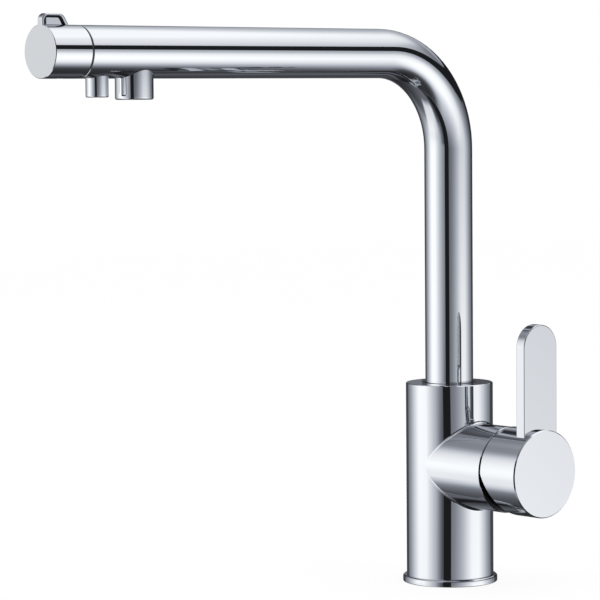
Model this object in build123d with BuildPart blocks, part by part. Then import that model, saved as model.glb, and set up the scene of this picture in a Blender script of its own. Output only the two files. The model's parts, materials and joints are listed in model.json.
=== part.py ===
from build123d import *
from math import cos, radians, sin, tan
import os

# A kitchen mixer tap with a second way for filtered water. A round body stands on
# the worktop, and a boss on its right side holds the mixing cartridge and the lever.
# A swivelling L-shaped spout carries two outlets and, at its tip, a turning knob
# that opens the filtered water.
#
# Frame: +Z up, origin at the middle of the base on the worktop, the spout points
# along -Y towards the user, the boss and the lever are on +X. Millimetres.

# Driving dimensions of the outside
body_radius = 25.0
body_top = 115.0
ring_radius = 27.2
ring_height = 4.0
tube_radius = 13.75
arm_height = 303.0
bend_radius = 54.0
tube_end = 263.0
knob_end = 287.0
main_outlet_reach = 227.0
main_outlet_radius = 10.1
main_outlet_bottom = 278.3
filter_outlet_reach = 251.2
filter_outlet_radius = 6.0
filter_outlet_bottom = 279.6
boss_height = 68.4
boss_radius = 24.4
boss_end = 48.4
handle_radius = 24.7
handle_end = 76.3
blade_width = 26.0
blade_thickness = 6.4
blade_top = 151.8

# Driving dimensions of the inside
shell_wall = 3.0
tube_wall = 1.5
block_bottom = 7.0
block_top = 24.0
port_radius = 4.5
port_depth = 11.0
port_offset = 11.5
stud_radius = 3.4
stud_depth = 13.0
stud_offset = 12.0
channel_radius = 3.0
channel_offset = 10.5
filter_channel_radius = 2.5
cup_back = 12.0
cup_seat = 19.0
cup_end = 44.5
cartridge_radius = 17.2
pivot_x = 44.4
relief_start = 0.0
relief_angle = 22.0
running_gap = 0.05
touch_gap = 0.1
turning_gap = 0.2
overlap = 1.0

# Heights and radii that follow from them
shell_bore = body_radius - shell_wall
tube_bore = tube_radius - tube_wall
core_radius = shell_bore - touch_gap
flange_top = block_top + 10.0
socket_floor = 92.0
socket_top = 110.0
socket_bore = 12.6
boss_axis = Axis((0, 0, boss_height), (1, 0, 0))

# The three ways through the cartridge, as places on its seat: across, then up
hot_way = (9.0, -3.5)
cold_way = (-9.0, -3.5)
mixed_way = (0.0, 9.0)
ways = [hot_way, cold_way, mixed_way]


def across(x):
    """The plane square to the boss at x: its first direction is +Y, its second +Z."""
    return Plane((x, 0, boss_height), x_dir=(0, 1, 0), z_dir=(1, 0, 0))


def along(y):
    """The plane square to the spout's arm at -y: its first direction is +X, its second +Z."""
    return Plane((0, -y, arm_height), x_dir=(1, 0, 0), z_dir=(0, -1, 0))


pieces = {}

# Base ring: the body stands in its step, and a groove below takes the seal
ring_bore = 21.5
ring_floor = 1.5
ring_upper_edge = 1.3
ring_lower_edge = 0.6
seal_inner = 22.6
seal_outer = 24.6
seal_depth = 0.9
with BuildPart() as base_ring:
    with BuildSketch(Plane.XZ):
        with Locations((ring_bore, 0)):
            Rectangle(ring_radius - ring_bore, ring_height, align=(Align.MIN, Align.MIN))
        with Locations((ring_bore, ring_floor)):
            Rectangle(
                body_radius + running_gap - ring_bore,
                ring_height,
                align=(Align.MIN, Align.MIN),
                mode=Mode.SUBTRACT,
            )
        with Locations((seal_inner, 0)):
            Rectangle(
                seal_outer - seal_inner,
                seal_depth,
                align=(Align.MIN, Align.MIN),
                mode=Mode.SUBTRACT,
            )
    revolve(axis=Axis.Z)
    rim = base_ring.edges().filter_by(GeomType.CIRCLE).group_by(SortBy.RADIUS)[-1]
    fillet(rim.sort_by(Axis.Z)[-1], radius=ring_upper_edge)
    rim = base_ring.edges().filter_by(GeomType.CIRCLE).group_by(SortBy.RADIUS)[-1]
    fillet(rim.sort_by(Axis.Z)[0], radius=ring_lower_edge)
pieces["base_ring"] = base_ring

with BuildPart() as base_seal:
    with BuildSketch():
        Circle(seal_outer)
        Circle(seal_inner, mode=Mode.SUBTRACT)
    extrude(amount=seal_depth)
pieces["base_seal"] = base_seal

# Body shell: the polished casing, a tube with the boss growing out of its side
top_plate = 3.0
wiper_radius = 15.6
boss_wall = 2.3
boss_bore = boss_radius - boss_wall
seam_radius = 1.6
top_edge = 0.4
boss_edge = 0.35
lock_height = 101.0
lock_radius = 2.5
with BuildPart() as body_shell:
    with BuildSketch(Plane.XY.offset(ring_floor)):
        Circle(body_radius)
    extrude(amount=body_top - ring_floor)
    with BuildSketch(across(0)):
        Circle(boss_radius)
    extrude(amount=boss_end)
    seam = [
        edge
        for edge in body_shell.edges()
        if edge.geom_type not in (GeomType.CIRCLE, GeomType.LINE)
    ]
    fillet(seam, radius=seam_radius)
    chamfer(body_shell.faces().sort_by(Axis.Z)[-1].edges(), length=top_edge)
    chamfer(body_shell.faces().sort_by(Axis.X)[-1].edges(), length=boss_edge)
    with BuildSketch(Plane.XY.offset(ring_floor)):
        Circle(shell_bore)
    extrude(amount=body_top - top_plate - ring_floor, mode=Mode.SUBTRACT)
    with BuildSketch(Plane.XY.offset(body_top - top_plate)):
        Circle(wiper_radius)
    extrude(amount=top_plate, mode=Mode.SUBTRACT)
    with BuildSketch(across(0)):
        Circle(boss_bore)
    extrude(amount=boss_end, mode=Mode.SUBTRACT)
    with BuildSketch(Plane.XZ.offset(-body_radius)):
        with Locations((0, lock_height)):
            Circle(lock_radius + touch_gap)
    extrude(amount=2 * shell_wall, mode=Mode.SUBTRACT)
pieces["body_shell"] = body_shell

# Inlet block: three hose ports and the fixing stud's thread open downwards
cross_height = 20.3
cross_radius = 2.0
channel_seal_radius = channel_radius + 1.5
seal_height = 1.35
block_screws_at = [(-12.4, 12.4), (-12.4, -12.4)]
block_screw_radius = 2.0
block_head_radius = 4.0
block_head_depth = 4.0
channel_places = [(0, channel_offset), (0, -channel_offset), (0, 0)]
with BuildPart() as inlet_block:
    with BuildSketch(Plane.XY.offset(block_bottom)):
        Circle(core_radius)
    extrude(amount=block_top - block_bottom)
    with BuildSketch(Plane.XY.offset(block_bottom)):
        with Locations((0, port_offset), (0, -port_offset), (-port_offset, 0)):
            Circle(port_radius)
    extrude(amount=port_depth, mode=Mode.SUBTRACT)
    with BuildSketch(Plane.XY.offset(block_bottom)):
        with Locations((stud_offset, 0)):
            Circle(stud_radius)
    extrude(amount=stud_depth, mode=Mode.SUBTRACT)
    with BuildSketch(Plane.XY.offset(block_bottom + port_depth)):
        with Locations(*channel_places[:2]):
            Circle(channel_radius)
    extrude(amount=block_top - block_bottom - port_depth, mode=Mode.SUBTRACT)
    with BuildSketch(Plane.XY.offset(block_bottom + port_depth)):
        with Locations((-port_offset, 0)):
            Circle(filter_channel_radius)
    extrude(amount=cross_height - block_bottom - port_depth, mode=Mode.SUBTRACT)
    with BuildSketch(Plane.XY.offset(cross_height)):
        Circle(filter_channel_radius)
    extrude(amount=block_top - cross_height, mode=Mode.SUBTRACT)
    with BuildSketch(Plane.YZ.offset(-body_radius)):
        with Locations((0, cross_height)):
            Circle(cross_radius)
    extrude(amount=body_radius, mode=Mode.SUBTRACT)
    with BuildSketch(Plane.XY.offset(block_top)):
        with Locations(*channel_places):
            Circle(channel_seal_radius)
    extrude(amount=-seal_height, mode=Mode.SUBTRACT)
    with BuildSketch(Plane.XY.offset(block_bottom)):
        with Locations(*block_screws_at):
            Circle(block_screw_radius)
    extrude(amount=block_top - block_bottom, mode=Mode.SUBTRACT)
    with BuildSketch(Plane.XY.offset(block_bottom)):
        with Locations(*block_screws_at):
            Circle(block_head_radius)
    extrude(amount=block_head_depth, mode=Mode.SUBTRACT)
pieces["inlet_block"] = inlet_block

plug_recess = 0.8
plug_length = 5.0
with BuildPart() as cross_drill_plug:
    with BuildSketch(Plane.YZ.offset(-core_radius + plug_recess)):
        with Locations((0, cross_height)):
            Circle(cross_radius)
    extrude(amount=plug_length)
pieces["cross_drill_plug"] = cross_drill_plug

# Square-section rings that seal the three channels between block and core
with BuildPart() as channel_seals:
    with BuildSketch(Plane.XY.offset(block_top)):
        with Locations(*channel_places):
            Circle(channel_seal_radius)
            Circle(channel_radius, mode=Mode.SUBTRACT)
    extrude(amount=-seal_height)
pieces["channel_seals"] = channel_seals

screw_reach = 7.0
head_recess = 0.6
head_floor = 1.5
head_clearance = 0.4
block_hex_radius = 1.6
with BuildPart() as block_screws:
    with BuildSketch(Plane.XY.offset(block_bottom + head_recess)):
        with Locations(*block_screws_at):
            Circle(block_head_radius - head_clearance)
            RegularPolygon(block_hex_radius, 6, mode=Mode.SUBTRACT)
    extrude(amount=block_head_depth - head_recess)
    with BuildSketch(Plane.XY.offset(block_bottom + block_head_depth - head_floor)):
        with Locations(*block_screws_at):
            Circle(block_screw_radius)
    extrude(amount=block_top + screw_reach - block_bottom - block_head_depth + head_floor)
pieces["block_screws"] = block_screws

# Waterway core: hot and cold rise to the cartridge, mixed water rises to the spout,
# and the filtered water has the middle
core_depth = 18.0
core_width = 30.0
mixed_x = 8.2
filter_tube_radius = 3.0
filter_tube_foot = 81.0
tube_end_gap = 0.5
tube_ring_height = 89.0
tube_ring_depth = 1.8
tube_ring_radius = filter_tube_radius + running_gap + 1.4
collar_radius = 18.0
collar_foot = 6.0
cup_screws_at = [(9.5, 7.5), (-9.5, 7.5)]
cup_screw_radius = 1.6
cup_screw_end = 4.0
seat_height = boss_height + hot_way[1]
with BuildPart() as waterway_core:
    with BuildSketch(Plane.XY.offset(block_top)):
        Circle(core_radius)
    extrude(amount=flange_top - block_top)
    with BuildSketch(Plane.XY.offset(flange_top)):
        with Locations((cup_back - core_depth / 2, 0)):
            Rectangle(core_depth, core_width)
    extrude(amount=socket_floor - flange_top)
    with BuildSketch(Plane.XY.offset(boss_height + boss_radius)):
        Circle(collar_radius)
    extrude(amount=socket_top - boss_height - boss_radius)
    with BuildSketch(Plane.XY.offset(boss_height + boss_radius - collar_foot)):
        with Locations((cup_back - core_depth / 2, 0)):
            Rectangle(core_depth, core_width)
    extrude(amount=collar_foot)
    with BuildSketch(Plane.XY.offset(socket_floor)):
        Circle(socket_bore)
    extrude(amount=socket_top - socket_floor, mode=Mode.SUBTRACT)
    with BuildSketch(Plane.XY.offset(block_top)):
        with Locations(*channel_places[:2]):
            Circle(channel_radius)
    extrude(amount=seat_height + channel_radius - block_top, mode=Mode.SUBTRACT)
    with BuildSketch(across(0)):
        with Locations(hot_way, cold_way):
            Circle(channel_radius)
    extrude(amount=cup_back, mode=Mode.SUBTRACT)
    with BuildSketch(across(mixed_x)):
        with Locations(mixed_way):
            Circle(channel_radius)
    extrude(amount=cup_back - mixed_x, mode=Mode.SUBTRACT)
    with BuildSketch(Plane.XY.offset(boss_height + mixed_way[1])):
        with Locations((mixed_x, 0)):
            Circle(channel_radius)
    extrude(amount=socket_floor - boss_height - mixed_way[1], mode=Mode.SUBTRACT)
    with BuildSketch(Plane.XY.offset(block_top)):
        Circle(filter_channel_radius)
    extrude(amount=socket_floor - block_top, mode=Mode.SUBTRACT)
    with BuildSketch(Plane.XY.offset(filter_tube_foot - tube_end_gap)):
        Circle(filter_tube_radius + running_gap)
    extrude(amount=socket_floor - filter_tube_foot + tube_end_gap, mode=Mode.SUBTRACT)
    with BuildSketch(Plane.XY.offset(tube_ring_height - tube_ring_depth / 2)):
        Circle(tube_ring_radius)
    extrude(amount=tube_ring_depth, mode=Mode.SUBTRACT)
    with BuildSketch(Plane.XY.offset(block_top)):
        with Locations(*block_screws_at):
            Circle(block_screw_radius)
    extrude(amount=screw_reach, mode=Mode.SUBTRACT)
    with BuildSketch(across(cup_screw_end)):
        with Locations(*cup_screws_at):
            Circle(cup_screw_radius)
    extrude(amount=cup_back - cup_screw_end, mode=Mode.SUBTRACT)
    with BuildSketch(Plane.XZ):
        with Locations((0, lock_height)):
            Circle(lock_radius)
    extrude(amount=-body_radius, mode=Mode.SUBTRACT)
pieces["waterway_core"] = waterway_core

with BuildPart() as tube_ring:
    with BuildSketch(Plane.XY.offset(tube_ring_height - tube_ring_depth / 2)):
        Circle(tube_ring_radius)
        Circle(filter_tube_radius + running_gap, mode=Mode.SUBTRACT)
    extrude(amount=tube_ring_depth)
pieces["filter_tube_seal"] = tube_ring

# Cartridge cup: slides in through the boss and is screwed against the core
thread_start = 37.0
nut_bore = 20.0
cup_head_radius = 2.9
cup_head_depth = 3.0
cup_head_height = 2.6
cup_hex_radius = 1.3
cup_hex_depth = 1.8
with BuildPart() as cartridge_cup:
    with BuildSketch(across(cup_back)):
        Circle(boss_bore - touch_gap)
    extrude(amount=cup_end - cup_back)
    with BuildSketch(across(cup_seat)):
        Circle(cartridge_radius + touch_gap)
    extrude(amount=cup_end - cup_seat, mode=Mode.SUBTRACT)
    with BuildSketch(across(thread_start)):
        Circle(nut_bore)
    extrude(amount=cup_end - thread_start, mode=Mode.SUBTRACT)
    with BuildSketch(across(cup_back)):
        with Locations(*ways):
            Circle(channel_radius)
    extrude(amount=cup_seat - cup_back, mode=Mode.SUBTRACT)
    with BuildSketch(across(cup_back)):
        with Locations(*ways):
            Circle(channel_seal_radius)
    extrude(amount=seal_height, mode=Mode.SUBTRACT)
    with BuildSketch(across(cup_back)):
        with Locations(*cup_screws_at):
            Circle(cup_screw_radius)
    extrude(amount=cup_seat - cup_back, mode=Mode.SUBTRACT)
    with BuildSketch(across(cup_seat)):
        with Locations(*cup_screws_at):
            Circle(cup_head_radius + touch_gap)
    extrude(amount=-cup_head_depth, mode=Mode.SUBTRACT)
pieces["cartridge_cup"] = cartridge_cup

with BuildPart() as seat_seals:
    with BuildSketch(across(cup_back)):
        with Locations(*ways):
            Circle(channel_seal_radius)
            Circle(channel_radius, mode=Mode.SUBTRACT)
    extrude(amount=seal_height)
pieces["cup_seals"] = seat_seals

with BuildPart() as cup_screws:
    with BuildSketch(across(cup_seat - cup_head_depth)):
        with Locations(*cup_screws_at):
            Circle(cup_head_radius)
    extrude(amount=cup_head_height)
    with BuildSketch(across(cup_seat - cup_head_depth + cup_head_height)):
        with Locations(*cup_screws_at):
            RegularPolygon(cup_hex_radius, 6)
    extrude(amount=-cup_hex_depth, mode=Mode.SUBTRACT)
    with BuildSketch(across(cup_screw_end)):
        with Locations(*cup_screws_at):
            Circle(cup_screw_radius)
    extrude(amount=cup_seat - cup_head_depth - cup_screw_end)
pieces["cup_screws"] = cup_screws

# Mixing cartridge, from its seat outwards
base_top = 23.0
fixed_disc_top = 26.0
moving_disc_top = 29.0
carrier_top = 34.0
rotor_bottom = 34.2
rotor_flange_top = 36.8
housing_shoulder = 38.0
neck_top = 50.5
rotor_top = 51.5
housing_bore = 15.3
neck_radius = 13.8
neck_bore = 11.7
housing_edge = 0.8
way_radius = 2.8
port_seal_inner = 2.9
port_seal_outer = 4.4
port_seal_depth = 1.6
with BuildPart() as cartridge_base:
    with BuildSketch(across(cup_seat)):
        Circle(cartridge_radius)
        with Locations(*ways):
            Circle(way_radius, mode=Mode.SUBTRACT)
    extrude(amount=base_top - cup_seat)
    with BuildSketch(across(cup_seat)):
        with Locations(*ways):
            Circle(port_seal_outer)
    extrude(amount=port_seal_depth, mode=Mode.SUBTRACT)
pieces["cartridge_base"] = cartridge_base

with BuildPart() as port_seals:
    with BuildSketch(across(cup_seat)):
        with Locations(*ways):
            Circle(port_seal_outer)
            Circle(port_seal_inner, mode=Mode.SUBTRACT)
    extrude(amount=port_seal_depth)
pieces["cartridge_port_seals"] = port_seals

with BuildPart() as fixed_disc:
    with BuildSketch(across(base_top)):
        Circle(housing_bore - touch_gap)
        with Locations(*ways):
            Circle(way_radius, mode=Mode.SUBTRACT)
    extrude(amount=fixed_disc_top - base_top)
pieces["fixed_ceramic_disc"] = fixed_disc

slider_radius = 11.5
slider_half_width = 9.2
pocket_rise = 1.5
pocket_half_width = 6.0
pocket_half_height = 7.5
pocket_depth = 1.6
with BuildPart() as moving_disc:
    with BuildSketch(across(fixed_disc_top)):
        Circle(slider_radius)
    extrude(amount=moving_disc_top - fixed_disc_top)
    with BuildSketch(across(fixed_disc_top)):
        with Locations((0, pocket_rise)):
            Ellipse(pocket_half_width, pocket_half_height)
    extrude(amount=pocket_depth, mode=Mode.SUBTRACT)
pieces["moving_ceramic_disc"] = moving_disc

# The stem's ball sits in the carrier's pocket and pushes it up as the lever tilts
ball_x = 31.9
ball_radius = 2.5
ball_gap = 0.12
carrier_floor = 0.3
with BuildPart() as disc_carrier:
    with BuildSketch(across(moving_disc_top)):
        Circle(slider_radius)
        Rectangle(2 * slider_half_width, 2 * slider_radius, mode=Mode.INTERSECT)
    extrude(amount=carrier_top - moving_disc_top)
    with BuildSketch(across(moving_disc_top + carrier_floor)):
        Circle(ball_radius + ball_gap)
    extrude(amount=carrier_top - moving_disc_top, mode=Mode.SUBTRACT)
pieces["disc_carrier"] = disc_carrier

slot_half_width = 3.7
slot_half_height = 7.2
pin_radius = 1.5
rail_bottom = 30.5
rail_width = 2.2
rail_height = 12.0
rail_place = slider_half_width + turning_gap + rail_width / 2
with BuildPart() as cartridge_rotor:
    with BuildSketch(across(rotor_bottom)):
        Circle(housing_bore - turning_gap)
    extrude(amount=rotor_flange_top - rotor_bottom)
    with BuildSketch(across(rotor_flange_top)):
        Circle(neck_bore - turning_gap)
    extrude(amount=rotor_top - rotor_flange_top)
    with BuildSketch(across(rail_bottom)):
        with Locations((rail_place, 0), (-rail_place, 0)):
            Rectangle(rail_width, rail_height)
    extrude(amount=rotor_bottom - rail_bottom)
    with BuildSketch(across(rotor_bottom)):
        Rectangle(2 * slot_half_width, 2 * slot_half_height)
    extrude(amount=rotor_top - rotor_bottom, mode=Mode.SUBTRACT)
    with BuildSketch(Plane.XZ.offset(-neck_bore)):
        with Locations((pivot_x, boss_height)):
            Circle(pin_radius)
    extrude(amount=2 * neck_bore, mode=Mode.SUBTRACT)
pieces["cartridge_rotor"] = cartridge_rotor

pin_recess = 0.6
with BuildPart() as stem_pin:
    with BuildSketch(Plane.XZ.offset(pin_recess - neck_bore)):
        with Locations((pivot_x, boss_height)):
            Circle(pin_radius)
    extrude(amount=2 * (neck_bore - pin_recess))
pieces["stem_pin"] = stem_pin

with BuildPart() as cartridge_housing:
    with BuildSketch(across(base_top)):
        Circle(cartridge_radius)
    extrude(amount=housing_shoulder - base_top)
    with BuildSketch(across(housing_shoulder)):
        Circle(neck_radius)
    extrude(amount=neck_top - housing_shoulder)
    with BuildSketch(across(base_top)):
        Circle(housing_bore)
    extrude(amount=rotor_flange_top + touch_gap - base_top, mode=Mode.SUBTRACT)
    with BuildSketch(across(base_top)):
        Circle(neck_bore)
    extrude(amount=neck_top - base_top, mode=Mode.SUBTRACT)
    chamfer(cartridge_housing.faces().sort_by(Axis.X)[-1].outer_wire().edges(), length=housing_edge)
pieces["cartridge_housing"] = cartridge_housing

# The stem is a square bar that tilts on its pin, with a ball at its inner end
stem_side = 7.0
stem_start = 38.0
stem_end = 68.5
stem_edge = 0.6
ball_neck_radius = 1.6
with BuildPart() as lever_stem:
    with Locations((ball_x, 0, boss_height)):
        Sphere(ball_radius)
    with BuildSketch(across(ball_x)):
        Circle(ball_neck_radius)
    extrude(amount=stem_start + overlap - ball_x)
    with BuildSketch(across(stem_start)):
        RectangleRounded(stem_side, stem_side, stem_edge)
    extrude(amount=stem_end - stem_start)
    with BuildSketch(Plane.XZ.offset(-stem_side)):
        with Locations((pivot_x, boss_height)):
            Circle(pin_radius + running_gap)
    extrude(amount=2 * stem_side, mode=Mode.SUBTRACT)
pieces["lever_stem"] = lever_stem

# Threaded ring that presses the cartridge on its seat, with four spanner slots
nut_top = 44.0
spanner_slot_length = 6.0
spanner_slot_width = 4.0
spanner_slot_depth = 3.0
with BuildPart() as cartridge_nut:
    with BuildSketch(across(housing_shoulder)):
        Circle(nut_bore - touch_gap)
        Circle(neck_radius + turning_gap, mode=Mode.SUBTRACT)
    extrude(amount=nut_top - housing_shoulder)
    with BuildSketch(across(nut_top)):
        with PolarLocations(nut_bore, 4, start_angle=45):
            Rectangle(spanner_slot_length, spanner_slot_width)
    extrude(amount=-spanner_slot_depth, mode=Mode.SUBTRACT)
pieces["cartridge_nut"] = cartridge_nut

# Dome: a ball-shaped cover about the tilt axis, seen through the gap behind the handle
dome_outer = 20.8
dome_inner = 19.6
dome_foot = 3.4
dome_mouth = 16.0
skirt_inner = 20.3
skirt_overlap = 0.6
skirt_outer = boss_bore - touch_gap
dome_plane = Plane((pivot_x, 0, boss_height), x_dir=(1, 0, 0), z_dir=(0, -1, 0))
with BuildPart() as dome_cover:
    with BuildSketch(dome_plane):
        Circle(dome_outer)
        Circle(dome_inner, mode=Mode.SUBTRACT)
        with Locations((dome_foot, 0)):
            Rectangle(
                dome_mouth - dome_foot,
                dome_outer + overlap,
                align=(Align.MIN, Align.MIN),
                mode=Mode.INTERSECT,
            )
        with Locations((cup_end + touch_gap - pivot_x, skirt_inner)):
            Rectangle(
                dome_foot + skirt_overlap - cup_end - touch_gap + pivot_x,
                skirt_outer - skirt_inner,
                align=(Align.MIN, Align.MIN),
            )
    revolve(axis=boss_axis)
pieces["dome_cover"] = dome_cover

# Handle hub: its back edge is square above the middle and cut back below it, and
# its mouth is widened to a thin lip, which leaves room for the tilt
handle_gap = 1.4
handle_start = boss_end + handle_gap
cavity_radius = 21.7
cavity_end = 65.0
lip_bore = 23.9
lip_depth = 3.8
stub_radius = 6.5
stub_start = 60.5
blade_back = 66.5
blade_foot = 9.0
grub_x = 66.0
grub_radius = 2.5
button_radius = 3.2
button_depth = 2.5
face_edge = 0.6
stem_end_gap = 0.5
blade_screws_at = [(7.0, 14.0), (-7.0, 14.0)]
blade_screw_radius = 1.5
blade_screw_end = 72.0
relief_reach = 2 * handle_radius * sin(radians(relief_angle))
relief_drop = 2 * handle_radius * cos(radians(relief_angle))
with BuildPart() as handle_hub:
    with BuildSketch(across(handle_start)):
        Circle(handle_radius)
    extrude(amount=handle_end - handle_start)
    with BuildSketch(across(handle_start)):
        Circle(cavity_radius)
    extrude(amount=cavity_end - handle_start, mode=Mode.SUBTRACT)
    with BuildSketch(across(handle_start)):
        Circle(lip_bore)
    extrude(amount=lip_depth, mode=Mode.SUBTRACT)
    mouth_step = [
        edge
        for edge in handle_hub.edges().filter_by(GeomType.CIRCLE)
        if abs(edge.radius - cavity_radius) < touch_gap
    ]
    chamfer(ShapeList(mouth_step).sort_by(Axis.X)[0], length=lip_bore - cavity_radius - touch_gap)
    with BuildSketch(across(stub_start)):
        Circle(stub_radius)
    extrude(amount=cavity_end - stub_start)
    with BuildSketch(Plane.XZ.offset(-2 * handle_radius)):
        with BuildLine():
            Polyline(
                (handle_start, boss_height - relief_start),
                (handle_start + relief_reach, boss_height - relief_start - relief_drop),
                (handle_start, boss_height - relief_start - relief_drop),
                close=True,
            )
        make_face()
    extrude(amount=4 * handle_radius, mode=Mode.SUBTRACT)
    with BuildSketch(across(stub_start)):
        Rectangle(stem_side + touch_gap, stem_side + touch_gap)
    extrude(amount=stem_end + stem_end_gap - stub_start, mode=Mode.SUBTRACT)
    with BuildSketch(across(blade_back)):
        with Locations((0, blade_foot)):
            Rectangle(blade_width, handle_radius, align=(Align.CENTER, Align.MIN))
    extrude(amount=blade_thickness, mode=Mode.SUBTRACT)
    with BuildSketch(across(cavity_end)):
        with Locations(*blade_screws_at):
            Circle(blade_screw_radius)
    extrude(amount=blade_back - cavity_end, mode=Mode.SUBTRACT)
    with BuildSketch(Plane.XY.offset(boss_height)):
        with Locations((grub_x, 0)):
            Circle(grub_radius)
    extrude(amount=-handle_radius, mode=Mode.SUBTRACT)
    with BuildSketch(Plane.XY.offset(boss_height - handle_radius + button_depth)):
        with Locations((grub_x, 0)):
            Circle(button_radius)
    extrude(amount=-handle_radius, mode=Mode.SUBTRACT)
    chamfer(handle_hub.faces().sort_by(Axis.X)[-1].edges(), length=face_edge)
pieces["handle_hub"] = handle_hub

# Lever blade: a flat upright plate with well rounded upper corners
blade_corner = 12.9
blade_edge = 0.6
with BuildPart() as lever_blade:
    with BuildSketch(across(blade_back)):
        with Locations((0, blade_foot)):
            Rectangle(
                blade_width,
                blade_top - boss_height - blade_foot,
                align=(Align.CENTER, Align.MIN),
            )
    extrude(amount=blade_thickness)
    corners = lever_blade.edges().filter_by(Axis.X).group_by(Axis.Z)[-1]
    fillet(corners, radius=blade_corner)
    for face in (lever_blade.faces().sort_by(Axis.X)[0], lever_blade.faces().sort_by(Axis.X)[-1]):
        rim = [edge for edge in face.edges() if edge.center().Z > boss_height + blade_foot + overlap]
        fillet(rim, radius=blade_edge)
    with BuildSketch(across(blade_back)):
        with Locations(*blade_screws_at):
            Circle(blade_screw_radius)
    extrude(amount=blade_screw_end - blade_back, mode=Mode.SUBTRACT)
pieces["lever_blade"] = lever_blade

blade_head_height = 1.8
blade_head_radius = 2.7
blade_hex_radius = 1.2
with BuildPart() as blade_screws:
    with BuildSketch(across(cavity_end - blade_head_height)):
        with Locations(*blade_screws_at):
            Circle(blade_head_radius)
            RegularPolygon(blade_hex_radius, 6, mode=Mode.SUBTRACT)
    extrude(amount=blade_head_height)
    with BuildSketch(across(cavity_end)):
        with Locations(*blade_screws_at):
            Circle(blade_screw_radius)
    extrude(amount=blade_screw_end - cavity_end)
pieces["blade_screws"] = blade_screws

grub_length = 8.0
grub_hex_radius = 1.4
grub_hex_depth = 3.0
with BuildPart() as handle_grub_screw:
    with BuildSketch(Plane.XY.offset(boss_height - stem_side / 2 - running_gap)):
        with Locations((grub_x, 0)):
            Circle(grub_radius)
    extrude(amount=-grub_length)
    with BuildSketch(handle_grub_screw.faces().sort_by(Axis.Z)[0]):
        RegularPolygon(grub_hex_radius, 6)
    extrude(amount=-grub_hex_depth, mode=Mode.SUBTRACT)
pieces["handle_grub_screw"] = handle_grub_screw

button_height = 2.2
button_edge = 0.4
with BuildPart() as handle_button:
    with BuildSketch(Plane.XY.offset(boss_height - handle_radius + button_depth)):
        with Locations((grub_x, 0)):
            Circle(button_radius)
    extrude(amount=-button_height)
    fillet(handle_button.faces().sort_by(Axis.Z)[0].edges(), radius=button_edge)
pieces["handle_button"] = handle_button


def bent_pipe(foot, tip, outer, wall):
    """A pipe that rises from foot, turns through the bend and runs out level to tip."""
    with BuildPart() as pipe:
        with BuildLine(Plane.YZ):
            riser = Line((0, foot), (0, arm_height - bend_radius))
            bend = JernArc(start=riser @ 1, tangent=riser % 1, radius=bend_radius, arc_size=90)
            Line(bend @ 1, (-tip, arm_height))
        with BuildSketch(Plane.XY.offset(foot)):
            Circle(outer)
            Circle(outer - wall, mode=Mode.SUBTRACT)
        sweep()
    return pipe


# Spout tube: one pipe up, round the bend and out to the tip
tube_foot = 112.2
tip_edge = 0.25
main_throat = 7.0
filter_throat = 3.2
with BuildPart() as spout_tube:
    add(bent_pipe(tube_foot, tube_end, tube_radius, tube_wall))
    chamfer(spout_tube.faces().sort_by(Axis.Y)[0].outer_wire().edges(), length=tip_edge)
    with BuildSketch(Plane.XY.offset(arm_height)):
        with Locations((0, -main_outlet_reach)):
            Circle(main_throat)
        with Locations((0, -filter_outlet_reach)):
            Circle(filter_throat)
    extrude(amount=-2 * tube_radius, mode=Mode.SUBTRACT)
pieces["spout_tube"] = spout_tube

# Spigot: brazed into the foot of the tube and turns in the core's socket
spigot_foot = 93.5
spigot_radius = 12.5
spigot_bore = 9.0
spigot_neck = 10.0
spigot_edge = 0.6
ring_groove = 2.4
ring_slack = 0.02
lock_gap = 0.3
lock_groove = 1.5
ring_cord = 0.95
ring_heights = [96.4, 106.6]
with BuildPart() as spout_spigot:
    with BuildSketch(Plane.XY.offset(spigot_foot)):
        Circle(spigot_radius)
    extrude(amount=tube_foot - spigot_foot)
    with BuildSketch(Plane.XY.offset(tube_foot)):
        Circle(tube_bore)
    extrude(amount=spigot_neck)
    with BuildSketch(Plane.XY.offset(spigot_foot)):
        Circle(spigot_bore)
    extrude(amount=tube_foot + spigot_neck - spigot_foot, mode=Mode.SUBTRACT)
    for height in ring_heights:
        with BuildSketch(Plane.XY.offset(height - ring_groove / 2)):
            Circle(spigot_radius + overlap)
            Circle(socket_bore - 2 * ring_cord, mode=Mode.SUBTRACT)
        extrude(amount=ring_groove, mode=Mode.SUBTRACT)
    with BuildSketch(Plane.XY.offset(lock_height - lock_radius - lock_gap)):
        Circle(spigot_radius + overlap)
        Circle(spigot_radius - lock_groove, mode=Mode.SUBTRACT)
    extrude(amount=2 * (lock_radius + lock_gap), mode=Mode.SUBTRACT)
    chamfer(spout_spigot.faces().sort_by(Axis.Z)[0].outer_wire().edges(), length=spigot_edge)
pieces["spout_spigot"] = spout_spigot

with BuildPart() as spigot_o_rings:
    for height in ring_heights:
        with Locations((0, 0, height)):
            Torus(socket_bore - ring_cord, ring_cord - ring_slack)
pieces["spigot_o_rings"] = spigot_o_rings

washer_radius = 15.2
with BuildPart() as swivel_washer:
    with BuildSketch(Plane.XY.offset(socket_top)):
        Circle(washer_radius)
        Circle(spigot_radius + touch_gap, mode=Mode.SUBTRACT)
    extrude(amount=tube_foot - socket_top - running_gap)
pieces["swivel_washer"] = swivel_washer

wiper_foot = 0.6
wiper_height = 2.2
with BuildPart() as swivel_wiper:
    with BuildSketch(Plane.XY.offset(body_top - top_plate + wiper_foot)):
        Circle(wiper_radius)
        Circle(tube_radius + running_gap, mode=Mode.SUBTRACT)
    extrude(amount=wiper_height)
pieces["swivel_wiper"] = swivel_wiper

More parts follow.
